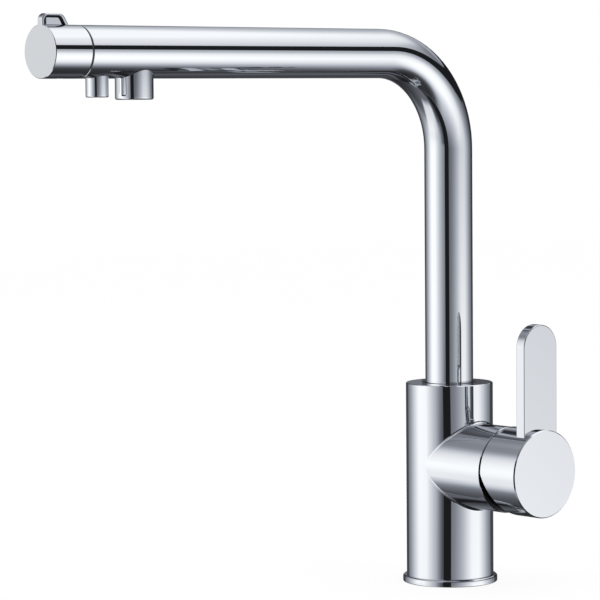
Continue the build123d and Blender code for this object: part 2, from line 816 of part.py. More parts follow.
lock_tip = spigot_radius - 1.2
lock_length = 13.0
lock_hex_radius = 1.4
lock_hex_depth = 3.5
with BuildPart() as spout_lock_screw:
    with BuildSketch(Plane.XZ.offset(-lock_tip)):
        with Locations((0, lock_height)):
            Circle(lock_radius)
    extrude(amount=-lock_length)
    with BuildSketch(Plane.XZ.offset(-lock_tip - lock_length)):
        with Locations((0, lock_height)):
            RegularPolygon(lock_hex_radius, 6)
    extrude(amount=lock_hex_depth, mode=Mode.SUBTRACT)
pieces["spout_lock_screw"] = spout_lock_screw

# Filtered water's own tube, up the middle of the spout to the valve block
block_start = 240.0
block_end = 262.5
tube_plug = 4.0
filter_tube_wall = 1.0
filter_tube = bent_pipe(filter_tube_foot, block_start + tube_plug, filter_tube_radius, filter_tube_wall)
pieces["filter_tube"] = filter_tube

# Valve block: closes the arm beyond the main outlet and holds the filter valve
valve_bore = 8.2
valve_floor = 246.5
block_throat = 2.0
block_ring_at = 243.5
block_groove_width = 2.0
block_groove_depth = 1.6
block_ring_width = 1.6
block_ring_depth = 1.55
with BuildPart() as valve_block:
    with BuildSketch(along(block_start)):
        Circle(tube_bore - running_gap)
    extrude(amount=block_end - block_start)
    with BuildSketch(along(block_start)):
        Circle(filter_tube_radius + running_gap)
    extrude(amount=tube_plug, mode=Mode.SUBTRACT)
    with BuildSketch(along(block_start)):
        Circle(block_throat)
    extrude(amount=valve_floor - block_start, mode=Mode.SUBTRACT)
    with BuildSketch(along(valve_floor)):
        Circle(valve_bore)
    extrude(amount=block_end - valve_floor, mode=Mode.SUBTRACT)
    with BuildSketch(Plane.XY.offset(arm_height)):
        with Locations((0, -filter_outlet_reach)):
            Circle(filter_throat)
    extrude(amount=-tube_radius, mode=Mode.SUBTRACT)
    with BuildSketch(along(block_ring_at - block_groove_width / 2)):
        Circle(tube_radius)
        Circle(tube_bore - block_groove_depth, mode=Mode.SUBTRACT)
    extrude(amount=block_groove_width, mode=Mode.SUBTRACT)
pieces["valve_block"] = valve_block

with BuildPart() as block_o_ring:
    with BuildSketch(along(block_ring_at - block_ring_width / 2)):
        Circle(tube_bore)
        Circle(tube_bore - block_ring_depth, mode=Mode.SUBTRACT)
    extrude(amount=block_ring_width)
pieces["valve_block_seal"] = block_o_ring

# Quarter-turn filter valve: seal, fixed disc, turning disc and spindle in a brass sleeve
seal_top = 247.7
lower_disc_top = 249.7
upper_disc_top = 251.7
sleeve_bore = 6.7
disc_radius = 6.5
flange_start = 262.5
flange_end = 266.0
spindle_radius = 3.5
valve_seal_bore = 3.0
disc_slot_length = 5.0
disc_slot_width = 2.6
disc_slot_place = 3.2
disc_window_width = 4.6
disc_window_height = 4.4
sleeve_hex_radius = 10.2
sleeve_step = 258.0
sleeve_window_length = 6.4
sleeve_window_width = 3.4
with BuildPart() as valve_seal:
    with BuildSketch(along(valve_floor)):
        Circle(disc_radius)
        Circle(valve_seal_bore, mode=Mode.SUBTRACT)
    extrude(amount=seal_top - valve_floor)
pieces["filter_valve_seal"] = valve_seal

with BuildPart() as valve_fixed_disc:
    with BuildSketch(along(seal_top)):
        Circle(disc_radius)
        with Locations((0, disc_slot_place), (0, -disc_slot_place)):
            SlotOverall(disc_slot_length, disc_slot_width, mode=Mode.SUBTRACT)
    extrude(amount=lower_disc_top - seal_top)
pieces["filter_valve_fixed_disc"] = valve_fixed_disc

with BuildPart() as valve_turning_disc:
    with BuildSketch(along(lower_disc_top)):
        Circle(disc_radius - touch_gap)
        with Locations((disc_window_width, 0), (-disc_window_width, 0)):
            Rectangle(disc_window_width, disc_window_height, mode=Mode.SUBTRACT)
    extrude(amount=upper_disc_top - lower_disc_top)
pieces["filter_valve_turning_disc"] = valve_turning_disc

with BuildPart() as valve_sleeve:
    with BuildSketch(along(seal_top)):
        Circle(valve_bore - running_gap)
    extrude(amount=flange_start - seal_top)
    with BuildSketch(along(flange_start)):
        RegularPolygon(sleeve_hex_radius, 6)
    extrude(amount=flange_end - flange_start)
    with BuildSketch(along(seal_top)):
        Circle(sleeve_bore)
    extrude(amount=sleeve_step - seal_top, mode=Mode.SUBTRACT)
    with BuildSketch(along(seal_top)):
        Circle(spindle_radius + running_gap)
    extrude(amount=flange_end - seal_top, mode=Mode.SUBTRACT)
    with BuildSketch(Plane.XY.offset(arm_height)):
        with Locations((0, -filter_outlet_reach)):
            SlotOverall(sleeve_window_length, sleeve_window_width)
    extrude(amount=-valve_bore - overlap, mode=Mode.SUBTRACT)
pieces["filter_valve_sleeve"] = valve_sleeve

spindle_flange = 6.5
spindle_end = 279.0
square_side = 5.0
square_start = 270.0
drive_width = 4.2
drive_end = 255.0
spindle_collar_start = 254.0
spindle_collar_width = 2.5
spindle_neck_start = 256.0
with BuildPart() as valve_spindle:
    with BuildSketch(along(upper_disc_top)):
        Circle(spindle_flange - touch_gap)
        Rectangle(2 * spindle_flange, drive_width, mode=Mode.INTERSECT)
    extrude(amount=drive_end - upper_disc_top)
    with BuildSketch(along(spindle_collar_start)):
        Circle(spindle_flange)
    extrude(amount=spindle_collar_width)
    with BuildSketch(along(spindle_neck_start)):
        Circle(spindle_radius)
    extrude(amount=square_start - spindle_neck_start)
    with BuildSketch(along(square_start)):
        Rectangle(square_side, square_side)
    extrude(amount=spindle_end - square_start)
pieces["filter_valve_spindle"] = valve_spindle

# Finger fin on top of the knob: a short upright plate with a thumb dish in each side
knob_gap = 1.1
knob_start = tube_end + knob_gap
fin_length = 16.4
fin_thickness = 4.4
fin_height = 5.7
fin_edge = 0.7
fin_top = arm_height + tube_radius + fin_height
fin_root = 2.0
fin_slope = 3.2
fin_heel = 2.4
fin_corners = (3.2, 4.2, 0.6)
fin_foot = arm_height + tube_radius - fin_root
fin_back = fin_length - knob_end
dish_border = 0.9
dish_depth = 1.3
dish_taper = 45.0
dish_corner = 1.6
dish_inset = dish_border + dish_depth * tan(radians(dish_taper))
dish_top = fin_top - dish_inset
slope_run = fin_slope / (fin_top - fin_foot - fin_heel)
dish_back = fin_back - fin_slope - dish_inset
dish_foot = dish_back + slope_run * (dish_top - fin_foot)
with BuildPart() as thumb_dishes:
    with BuildSketch(Plane.YZ.offset(fin_thickness / 2 - dish_depth)):
        with BuildLine():
            FilletPolyline(
                (dish_inset - knob_end, fin_foot),
                (dish_inset - knob_end, dish_top),
                (dish_back, dish_top),
                (dish_foot, fin_foot),
                radius=dish_corner,
            )
            Line((dish_foot, fin_foot), (dish_inset - knob_end, fin_foot))
        make_face()
    extrude(amount=dish_depth, taper=-dish_taper)
    mirror(about=Plane.YZ)
with BuildPart() as finger_fin:
    with BuildSketch(Plane.YZ.offset(-fin_thickness / 2)):
        with BuildLine():
            FilletPolyline(
                (-knob_end, fin_foot),
                (-knob_end, fin_top),
                (fin_back - fin_slope, fin_top),
                (fin_back, fin_foot + fin_heel),
                (fin_back, fin_foot),
                radius=fin_corners,
            )
            Line((fin_back, fin_foot), (-knob_end, fin_foot))
        make_face()
    extrude(amount=fin_thickness)
    for side in (0, -1):
        flat_side = finger_fin.faces().sort_by(Axis.X)[side]
        rim = [edge for edge in flat_side.edges() if edge.center().Z > fin_foot + touch_gap]
        fillet(rim, radius=fin_edge)
    add(thumb_dishes, mode=Mode.SUBTRACT)

# Knob: a turning end to the arm, hollow inside, that carries the fin
knob_bore = 12.0
knob_face = 3.0
knob_stub = 6.0
stub_mouth = 270.2
knob_grub_at = 275.5
knob_grub_radius = 2.0
knob_edge = 0.3
flange_gap = 0.5
spindle_end_gap = 0.4
with BuildPart() as filter_knob:
    with BuildSketch(along(knob_start)):
        Circle(tube_radius)
    extrude(amount=knob_end - knob_start)
    chamfer(filter_knob.faces().sort_by(Axis.Y)[0].edges(), length=knob_edge)
    add(finger_fin)
    with BuildSketch(along(knob_start)):
        Circle(knob_bore)
        Circle(knob_stub, mode=Mode.SUBTRACT)
    extrude(amount=knob_end - knob_face - knob_start, mode=Mode.SUBTRACT)
    with BuildSketch(along(knob_start)):
        Circle(knob_stub + flange_gap)
    extrude(amount=stub_mouth - knob_start, mode=Mode.SUBTRACT)
    with BuildSketch(along(stub_mouth)):
        Rectangle(square_side + touch_gap, square_side + touch_gap)
    extrude(amount=spindle_end + spindle_end_gap - stub_mouth, mode=Mode.SUBTRACT)
    with BuildSketch(Plane.XY.offset(arm_height - square_side / 2)):
        with Locations((0, -knob_grub_at)):
            Circle(knob_grub_radius)
    extrude(amount=-tube_radius, mode=Mode.SUBTRACT)
pieces["filter_knob"] = filter_knob

knob_grub_length = 5.5
knob_hex_radius = 1.1
knob_hex_depth = 2.2
with BuildPart() as knob_grub_screw:
    with BuildSketch(Plane.XY.offset(arm_height - square_side / 2 - running_gap)):
        with Locations((0, -knob_grub_at)):
            Circle(knob_grub_radius)
    extrude(amount=-knob_grub_length)
    with BuildSketch(knob_grub_screw.faces().sort_by(Axis.Z)[0]):
        RegularPolygon(knob_hex_radius, 6)
    extrude(amount=-knob_hex_depth, mode=Mode.SUBTRACT)
pieces["knob_grub_screw"] = knob_grub_screw

knob_washer_inset = 0.15
with BuildPart() as knob_washer:
    with BuildSketch(along(tube_end)):
        Circle(tube_radius - knob_washer_inset)
        Circle(tube_bore + touch_gap, mode=Mode.SUBTRACT)
    extrude(amount=knob_gap - running_gap)
pieces["knob_washer"] = knob_washer


def outlet_stub(reach, radius, bottom, bore, throat, bore_depth, edge):
    """A short pipe brazed under the arm, its top shaped to the tube it meets."""
    with BuildPart() as stub:
        with BuildSketch(Plane.XY.offset(bottom)):
            with Locations((0, -reach)):
                Circle(radius)
        extrude(amount=arm_height - bottom)
        fillet(stub.faces().sort_by(Axis.Z)[0].edges(), radius=edge)
        with BuildSketch(Plane.XY.offset(bottom)):
            with Locations((0, -reach)):
                Circle(bore)
        extrude(amount=bore_depth, mode=Mode.SUBTRACT)
        with BuildSketch(Plane.XY.offset(bottom)):
            with Locations((0, -reach)):
                Circle(throat)
        extrude(amount=arm_height - bottom, mode=Mode.SUBTRACT)
        with BuildSketch(along(reach - 2 * radius)):
            Circle(tube_radius)
        extrude(amount=4 * radius, mode=Mode.SUBTRACT)
    return stub


# Outlets under the arm, with the pieces that shape their streams
aerator_bore = 8.7
aerator_depth = 8.0
main_outlet_edge = 1.1
main_outlet = outlet_stub(
    main_outlet_reach,
    main_outlet_radius,
    main_outlet_bottom,
    aerator_bore,
    main_throat,
    aerator_depth,
    main_outlet_edge,
)
pieces["main_outlet"] = main_outlet
nozzle_bore = 4.6
nozzle_depth = 6.0
filter_outlet_edge = 0.9
filter_outlet = outlet_stub(
    filter_outlet_reach,
    filter_outlet_radius,
    filter_outlet_bottom,
    nozzle_bore,
    filter_throat,
    nozzle_depth,
    filter_outlet_edge,
)
pieces["filter_outlet"] = filter_outlet

aerator_top = main_outlet_bottom + aerator_depth
aerator_washer_bore = 6.6
aerator_washer_height = 1.2
with BuildPart() as aerator_washer:
    with BuildSketch(Plane.XY.offset(aerator_top)):
        with Locations((0, -main_outlet_reach)):
            Circle(aerator_bore)
            Circle(aerator_washer_bore, mode=Mode.SUBTRACT)
    extrude(amount=-aerator_washer_height)
pieces["aerator_washer"] = aerator_washer

insert_radius = 7.2
housing_recess = 0.5
housing_slots = 4
housing_slot_width = 1.6
housing_slot_length = 2.4
housing_slot_depth = 1.0
with BuildPart() as aerator_housing:
    with BuildSketch(Plane.XY.offset(main_outlet_bottom + housing_recess)):
        with Locations((0, -main_outlet_reach)):
            Circle(aerator_bore)
            Circle(insert_radius, mode=Mode.SUBTRACT)
    extrude(amount=aerator_depth - aerator_washer_height - housing_recess)
    with BuildSketch(Plane.XY.offset(main_outlet_bottom + housing_recess)):
        with Locations((0, -main_outlet_reach)):
            with PolarLocations(aerator_bore, housing_slots):
                Rectangle(housing_slot_width, housing_slot_length)
    extrude(amount=housing_slot_depth, mode=Mode.SUBTRACT)
pieces["aerator_housing"] = aerator_housing

grid_hole_spacing = 1.05
grid_holes = 5
grid_hole_radius = 0.8
insert_recess = 1.2
insert_height = 4.0
with BuildPart() as aerator_insert:
    with BuildSketch(Plane.XY.offset(main_outlet_bottom + insert_recess)):
        with Locations((0, -main_outlet_reach)):
            Circle(insert_radius)
            with HexLocations(grid_hole_spacing, grid_holes, grid_holes):
                RegularPolygon(grid_hole_radius, 6, mode=Mode.SUBTRACT)
    extrude(amount=insert_height)
pieces["aerator_insert"] = aerator_insert

jet_circle_radius = 2.4
jets = 6
jet_radius = 0.7
middle_jet_radius = 0.8
nozzle_recess = 0.8
with BuildPart() as filter_outlet_insert:
    with BuildSketch(Plane.XY.offset(filter_outlet_bottom + nozzle_recess)):
        with Locations((0, -filter_outlet_reach)):
            Circle(nozzle_bore)
            with PolarLocations(jet_circle_radius, jets):
                Circle(jet_radius, mode=Mode.SUBTRACT)
            Circle(middle_jet_radius, mode=Mode.SUBTRACT)
    extrude(amount=insert_height)
pieces["filter_outlet_insert"] = filter_outlet_insert

os.makedirs("parts", exist_ok=True)
for name, piece in pieces.items():
    piece.part.label = name
    export_step(piece.part, f"parts/{name}.step")
print(len(pieces), "nodes written")
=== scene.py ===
# %% [markdown]
# # A kitchen mixer tap
# The tap is one long reflection. Almost all of it is chrome plate, and chrome has no colour
# of its own: what we see on it is the room. So this lesson spends its effort in two places,
# on smooth, exact surfaces that a mirror finish doesn't spoil, and on the room round the tap.

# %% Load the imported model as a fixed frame
import json
import math

import bmesh
import bpy
from mathutils import Matrix, Vector


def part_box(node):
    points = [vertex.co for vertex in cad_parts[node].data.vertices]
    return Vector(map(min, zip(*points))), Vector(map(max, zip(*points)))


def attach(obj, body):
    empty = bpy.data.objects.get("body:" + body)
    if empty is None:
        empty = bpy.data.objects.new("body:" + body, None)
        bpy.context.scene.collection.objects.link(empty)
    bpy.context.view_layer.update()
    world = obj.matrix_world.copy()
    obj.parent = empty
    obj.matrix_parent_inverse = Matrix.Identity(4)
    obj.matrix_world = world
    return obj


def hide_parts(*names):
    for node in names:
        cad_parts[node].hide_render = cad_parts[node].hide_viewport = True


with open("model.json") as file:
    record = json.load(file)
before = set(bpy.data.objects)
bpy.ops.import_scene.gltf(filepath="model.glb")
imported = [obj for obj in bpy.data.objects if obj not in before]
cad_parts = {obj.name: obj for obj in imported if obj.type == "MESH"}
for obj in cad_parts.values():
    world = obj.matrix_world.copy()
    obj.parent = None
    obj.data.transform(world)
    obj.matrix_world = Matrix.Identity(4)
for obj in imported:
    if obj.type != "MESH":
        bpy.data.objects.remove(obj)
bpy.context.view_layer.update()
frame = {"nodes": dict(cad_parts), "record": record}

# %% [markdown]
# ## The camera
# A product photographer stands well back with a long lens, so that upright lines stay upright.
# The camera stands to the right of the spout, on the bearing below, a little under the height
# of the arm, and looks slightly down. It is set by a place and three angles, because those
# are what a tripod head has.

# %% Camera
camera_bearing = math.radians(45.892)
camera_distance = 1.6731
camera_height = 0.2774
look_bearing = math.radians(48.822)
look_down = math.radians(3.92)
camera_roll = math.radians(-0.471)
lens_mm = 174.98
sensor_mm = 36.0


def make_camera():
    """The photographer's camera, with its axes built from the tripod's three angles."""
    level = Vector((-math.sin(look_bearing), math.cos(look_bearing), 0.0))
    up = Vector((0.0, 0.0, 1.0))
    forward = level * math.cos(look_down) - up * math.sin(look_down)
    right = Vector((math.cos(look_bearing), math.sin(look_bearing), 0.0))
    above = right.cross(forward)
    rolled_right = right * math.cos(camera_roll) + above * math.sin(camera_roll)
    rolled_above = above * math.cos(camera_roll) - right * math.sin(camera_roll)
    camera = bpy.data.objects.new("camera", bpy.data.cameras.new("camera"))
    camera.data.sensor_width = sensor_mm
    camera.data.lens = lens_mm
    turn = Matrix((rolled_right, rolled_above, -forward)).transposed()
    place = Matrix.Translation(
        (
            camera_distance * math.sin(camera_bearing),
            -camera_distance * math.cos(camera_bearing),
            camera_height,
        )
    )
    camera.matrix_world = place @ turn.to_4x4()
    bpy.context.scene.collection.objects.link(camera)
    bpy.context.scene.camera = camera
    return camera


camera = make_camera()
print("camera at", [round(v, 3) for v in camera.matrix_world.translation])

# %% [markdown]
# ## Helpers for node materials
# A material here is a small graph. These helpers keep each graph short: one starts a material
# with its shader, one adds a node and plugs things into it, and one makes noise at a real
# size, because a scratch is a tenth of a millimetre wide whatever it is on. A fade turns a
# measure into a share between 0 and 1, and shares are multiplied to say "both at once".


# %% Node helpers
def add_node(tree, kind, inputs=None, **settings):
    """A node of that kind, with settings as attributes and inputs as values or sockets."""
    node = tree.nodes.new(kind)
    for name, value in settings.items():
        setattr(node, name, value)
    for key, value in (inputs or {}).items():
        if isinstance(value, bpy.types.NodeSocket):
            tree.links.new(value, node.inputs[key])
        else:
            node.inputs[key].default_value = value
    return node


def calculate(tree, operation, *values):
    """The result socket of a Math node."""
    node = add_node(tree, "ShaderNodeMath", operation=operation)
    for index, value in enumerate(values):
        if isinstance(value, bpy.types.NodeSocket):
            tree.links.new(value, node.inputs[index])
        else:
            node.inputs[index].default_value = value
    return node.outputs[0]


def remap(tree, value, low, high, out_low, out_high, smooth=True):
    """value from low..high to out_low..out_high, held at the ends."""
    node = add_node(
        tree,
        "ShaderNodeMapRange",
        {"Value": value, "From Min": low, "From Max": high, "To Min": out_low, "To Max": out_high},
        interpolation_type="SMOOTHSTEP" if smooth else "LINEAR",
    )
    return node.outputs["Result"]


def fade_in(tree, value, start, end, top=1.0):
    """0 before start, top after end, and smooth between them."""
    return remap(tree, value, start, end, 0.0, top)


def fade_out(tree, value, start, end, top=1.0):
    """top before start, 0 after end, and smooth between them."""
    return remap(tree, value, start, end, top, 0.0)


def between(tree, value, low, high, soft):
    """1 where value is between low and high, 0 outside, with edges soft wide on each side."""
    rising = fade_in(tree, value, low - soft, low + soft)
    falling = fade_out(tree, value, high - soft, high + soft)
    return calculate(tree, "MULTIPLY", rising, falling)


def product(tree, first, *others):
    """All the values multiplied."""
    for other in others:
        first = calculate(tree, "MULTIPLY", first, other)
    return first


def blend_values(tree, share, first, second):
    """The value first where share is 0, second where it is 1."""
    return calculate(tree, "MULTIPLY_ADD", calculate(tree, "SUBTRACT", second, first), share, first)


def blend_colours(tree, share, first, second):
    """The colour first where share is 0, second where it is 1."""
    node = add_node(tree, "ShaderNodeMix", {"Factor": share, 6: first, 7: second}, data_type="RGBA")
    return node.outputs[2]


def noise(tree, size_mm, detail=3.0, stretch=(1.0, 1.0, 1.0)):
    """Noise whose blobs are about size_mm across, from Object coordinates."""
    place = add_node(tree, "ShaderNodeTexCoord").outputs["Object"]
    scale = [1000.0 / size_mm / axis for axis in stretch]
    mapped = add_node(tree, "ShaderNodeMapping", {"Vector": place, "Scale": scale}).outputs["Vector"]
    node = add_node(tree, "ShaderNodeTexNoise", {"Vector": mapped, "Scale": 1.0, "Detail": detail})
    return node.outputs["Fac"]


def new_finish(name, **sockets):
    """A material with one Principled shader, its constant values set on its own sockets."""
    material = bpy.data.materials.new(name)
    material.use_nodes = True
    tree = material.node_tree
    shader = tree.nodes["Principled BSDF"]
    for socket, value in sockets.items():
        shader.inputs[socket.replace("_", " ")].default_value = value
    return material, tree, shader


def bump(tree, shader, height, depth_mm, strength):
    """Plugs a height into the shader's normal, as a relief depth_mm deep."""
    node = add_node(
        tree,
        "ShaderNodeBump",
        {"Height": height, "Distance": depth_mm / 1000.0, "Strength": strength},
    )
    tree.links.new(node.outputs["Normal"], shader.inputs["Normal"])


# %% [markdown]
# ## Chrome plate
# Chrome plate is a mirror with a faint blue cast. A tap in use is never quite even: water
# leaves a thin haze in soft clouds, and wiping leaves hair-fine lines along the tube. Both
# change only the roughness, by a few hundredths, which is enough to soften a reflection here
# and there without showing as a pattern.
#
# Shade is painted into the recesses: there the chrome gets a dark colour and a duller finish,
# which stand in for the shadow there. A mask says where. It is a share that the material works
# out from the place of each point, 1 in the recess and 0 outside it. The recesses are the gap
# behind the handle, the rounded corner under the boss, and the sloping rim of the thumb dish on
# each side of the knob's fin.

# %% Where the recesses with painted shade are, in metres
edge = 0.0001
body_radius = 0.025
boss_radius = 0.0244
boss_height = 0.0684
gap_radius = 0.02397
gap_ends = (0.0473, 0.0745)

# The painted shade in the corner lies off both cylinders, near the body, and it fades out as
# it climbs. At most it is the share below of a full recess.
off_surface = (0.00003, 0.0001)
corner_reach = (0.028, 0.032)
corner_drop = (-0.012, -0.003)
corner_share = 0.85

# The painted shade in the dish is measured from the knob's own box. First come half thicknesses
# of the fin, from the dish's floor to the fin's face, then the border, the front strip of painted
# shade and the sloping back.
dish_floor = 0.00098
fin_face = 0.00214
face_edge = 0.00004
dish_border = 0.0008
dark_front = 0.0026
dark_front_edge = 0.0003
fin_foot_edge = 0.0002
fin_length = 0.0164
fin_lean = 0.0032
fin_lean_height = 0.0053
back_border = 0.001


# %% Masks for the painted shade in the recesses
def coordinates(tree):
    """The X, Y and Z sockets of the Object coordinates, in metres."""
    place = add_node(tree, "ShaderNodeTexCoord").outputs["Object"]
    return add_node(tree, "ShaderNodeSeparateXYZ", {"Vector": place}).outputs


def distance(tree, first, second):
    """How far a point is from the axis that first and second are measured from."""
    square = calculate(tree, "MULTIPLY_ADD", first, first, calculate(tree, "MULTIPLY", second, second))
    return calculate(tree, "SQRT", square)


def boss_painted_shade_mask(tree):
    """Where shade is painted: 1 in the gap behind the handle, and less in the rounded corner under the
    boss.
    """
    x, y, z = coordinates(tree)
    height = calculate(tree, "SUBTRACT", z, boss_height)
    off_axis = distance(tree, y, height)
    inside = fade_out(tree, off_axis, gap_radius - edge / 2, gap_radius + edge / 2)
    gap = product(tree, inside, between(tree, x, *gap_ends, edge))
    off_body = fade_in(tree, distance(tree, x, y), *(body_radius + step for step in off_surface))
    off_boss = fade_in(tree, off_axis, *(boss_radius + step for step in off_surface))
    beside_body = fade_out(tree, x, *corner_reach)
    low = fade_out(tree, height, *corner_drop, corner_share)
    return calculate(tree, "MAXIMUM", gap, product(tree, off_body, off_boss, beside_body, low))


def dish_painted_shade_mask(tree):
    """Where shade is painted: 1 on the sloping rim of the thumb dishes in the knob's fin, and just behind
    its front.
    """
    x, y, z = coordinates(tree)
    knob_low, knob_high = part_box("filter_knob")
    off_middle = calculate(tree, "ABSOLUTE", x)
    rim = between(tree, off_middle, dish_floor, fin_face, face_edge)

    front_line = knob_low[1] + dish_border
    barrel_top = knob_low[2] + knob_high[0] - knob_low[0]
    # A strip of painted shade just behind the front of the fin
    painted_shade_strip = product(
        tree,
        between(tree, y, front_line, front_line + dark_front, dark_front_edge),
        fade_in(tree, z, barrel_top, barrel_top + fin_foot_edge),
        fade_out(tree, off_middle, fin_face - face_edge, fin_face + face_edge),
    )

    top_line = knob_high[2] - dish_border
    lean = fin_lean / fin_lean_height
    back_line = knob_low[1] + fin_length - fin_lean + lean * knob_high[2] - back_border
    return product(
        tree,
        calculate(tree, "MAXIMUM", rim, painted_shade_strip),
        fade_in(tree, y, front_line, front_line + edge),
        fade_out(tree, z, top_line - edge, top_line),
        fade_out(tree, calculate(tree, "MULTIPLY_ADD", z, lean, y), back_line - edge, back_line),
    )


# %% Chrome
chrome_colour = (0.925, 0.94, 0.95, 1.0)
# The blade's chrome is the same plate with a darker colour: painted shade
blade_colour_painted_shade = (0.83, 0.845, 0.86, 1.0)
# Painted shade: the dome's chrome is nearly black, standing in for the shadow inside the hub
painted_shade_dome_colour = (0.1, 0.1, 0.11, 1.0)
# The colour of the painted shade in the recesses, then the roughness there
painted_shade_colour = (0.07, 0.07, 0.078, 1.0)
recess_roughness = 0.5
polished = (0.015, 0.05)
cloud_mm = 14.0
wipe_mm = 0.35
wipe_share = 0.35
wipe_stretch = (1.0, 40.0, 40.0)
haze_range = (0.45, 1.0)
wave_mm = 22.0
wave_depth_mm = 0.02
wave_strength = 0.25


def chrome_finish(name, haze, roughest, colour=chrome_colour, painted_shade_mask=None):
    """Polished chrome: roughness from haze to roughest in soft clouds and fine wipe lines, and painted
    shade where a mask is given.
    """
    material, tree, shader = new_finish(
        name, Metallic=1.0, Base_Color=colour, Specular_Tint=(1.0, 1.0, 1.0, 1.0)
    )
    clouds = noise(tree, cloud_mm, detail=2.0)
    lines = noise(tree, wipe_mm, detail=2.0, stretch=wipe_stretch)
    mixed = calculate(tree, "MULTIPLY_ADD", lines, wipe_share, clouds)
    rough = remap(tree, mixed, *haze_range, haze, roughest)
    # Painted shade: where the mask says, the colour goes dark and the finish duller
    if painted_shade_mask:
        painted_shade_share = painted_shade_mask(tree)
        shade = blend_colours(tree, painted_shade_share, colour, painted_shade_colour)
        tree.links.new(shade, shader.inputs["Base Color"])
        rough = calculate(tree, "MAXIMUM", rough, calculate(tree, "MULTIPLY", painted_shade_share, recess_roughness))
    tree.links.new(rough, shader.inputs["Roughness"])
    bump(tree, shader, noise(tree, wave_mm, detail=1.0), wave_depth_mm, wave_strength)
    return material


polished_chrome = chrome_finish("polished_chrome", *polished)
# The boss and handle carry painted shade in the gap and in the corner under the boss
boss_chrome_painted_shade = chrome_finish("boss_chrome_painted_shade", *polished, painted_shade_mask=boss_painted_shade_mask)
# The knob carries painted shade on the rims of its thumb dishes
knob_chrome_painted_shade = chrome_finish("knob_chrome_painted_shade", *polished, painted_shade_mask=dish_painted_shade_mask)
# The lever blade: chrome darkened as painted shade
blade_chrome_painted_shade = chrome_finish("blade_chrome_painted_shade", 0.02, 0.06, blade_colour_painted_shade)
# The dome's chrome, darkened as painted shade
dome_chrome_painted_shade = chrome_finish("dome_chrome_painted_shade", 0.2, 0.3, painted_shade_dome_colour)
chromes = (polished_chrome, boss_chrome_painted_shade, knob_chrome_painted_shade, blade_chrome_painted_shade, dome_chrome_painted_shade)
print("chrome finishes:", [material.name for material in chromes])

# %% [markdown]
# ## The pieces that hardly show
# Open the tap and there is brass, ceramic, rubber and grey plastic. These pieces show only
# through a gap or from below, and still each gets the mark of how it was made: turning rings
# on brass, a lapped face on ceramic, a moulded grain on plastic and rubber.


# %% Brass, steel, rubber, ceramic and plastics
ring_mm = 0.25
ring_stretch = (30.0, 30.0, 1.0)
ring_depth_mm = 0.03
ring_strength = 0.5
tarnish_mm = 6.0
tarnish_range = (0.35, 0.75)
patch_mm = 5.0
patch_range = (0.3, 0.7)
grain_strength = 0.6


def turned_metal(name, colour, dark, roughness):
    """Machined metal: fine rings and a little tarnish."""
    material, tree, shader = new_finish(name, Metallic=1.0, Roughness=roughness)
    tarnish = fade_in(tree, noise(tree, tarnish_mm, detail=4.0), *tarnish_range)
    tree.links.new(blend_colours(tree, tarnish, colour, dark), shader.inputs["Base Color"])
    rings = noise(tree, ring_mm, detail=2.0, stretch=ring_stretch)
    bump(tree, shader, rings, ring_depth_mm, ring_strength)
    return material


def moulded(name, colour, shade, roughness, grain_mm, depth_mm):
    """Plastic, rubber or ceramic: a slightly uneven colour and a fine grain."""
    material, tree, shader = new_finish(name, Roughness=roughness)
    patches = fade_in(tree, noise(tree, patch_mm, detail=3.0), *patch_range)
    tree.links.new(blend_colours(tree, patches, colour, shade), shader.inputs["Base Color"])
    bump(tree, shader, noise(tree, grain_mm, detail=2.0), depth_mm, grain_strength)
    return material


brass = {"colour": (0.72, 0.52, 0.22, 1), "dark": (0.5, 0.34, 0.14, 1)}
steel = {"colour": (0.58, 0.58, 0.58, 1), "dark": (0.42, 0.42, 0.43, 1)}
rubber = {"colour": (0.02, 0.02, 0.021, 1), "shade": (0.035, 0.035, 0.036, 1)}
ceramic = {"colour": (0.85, 0.83, 0.78, 1), "shade": (0.8, 0.78, 0.73, 1)}
pale_plastic = {"colour": (0.62, 0.62, 0.6, 1), "shade": (0.56, 0.56, 0.54, 1)}
dark_plastic = {"colour": (0.3, 0.31, 0.33, 1), "shade": (0.25, 0.26, 0.28, 1)}
white_plastic = {"colour": (0.86, 0.87, 0.86, 1), "shade": (0.8, 0.81, 0.8, 1)}

finishes = {
    "chrome": polished_chrome,
    "brass": turned_metal("turned_brass", **brass, roughness=0.28),
    "steel": turned_metal("turned_steel", **steel, roughness=0.3),
    "black_rubber": moulded(
        "black_rubber", **rubber, roughness=0.6, grain_mm=0.3, depth_mm=0.03
    ),
    "white_ceramic": moulded(
        "white_ceramic", **ceramic, roughness=0.22, grain_mm=0.2, depth_mm=0.005
    ),
    "cartridge_plastic": moulded(
        "cartridge_plastic", **pale_plastic, roughness=0.45, grain_mm=0.25, depth_mm=0.02
    ),
    "grey_plastic": moulded(
        "grey_plastic", **dark_plastic, roughness=0.42, grain_mm=0.25, depth_mm=0.02
    ),
    "tube_plastic": moulded(
        "tube_plastic", **white_plastic, roughness=0.4, grain_mm=0.3, depth_mm=0.01
    ),
}


def dress_nodes():
    """Gives every CAD node the finish of its slot in the record, then gives the dome cover a chrome
    darkened as painted shade.
    """
    for row in frame["record"]["subparts"]:
        mesh = frame["nodes"][row["node"]].data
        mesh.materials.clear()
        mesh.materials.append(finishes[row["material_slot"]])
        mesh.polygons.foreach_set("material_index", [0] * len(mesh.polygons))
    # The dome cover is chrome, painted dark as shade, since it sits in the hub's shadow
    frame["nodes"]["dome_cover"].data.materials[0] = dome_chrome_painted_shade


dress_nodes()
print(len(frame["nodes"]), "nodes dressed")

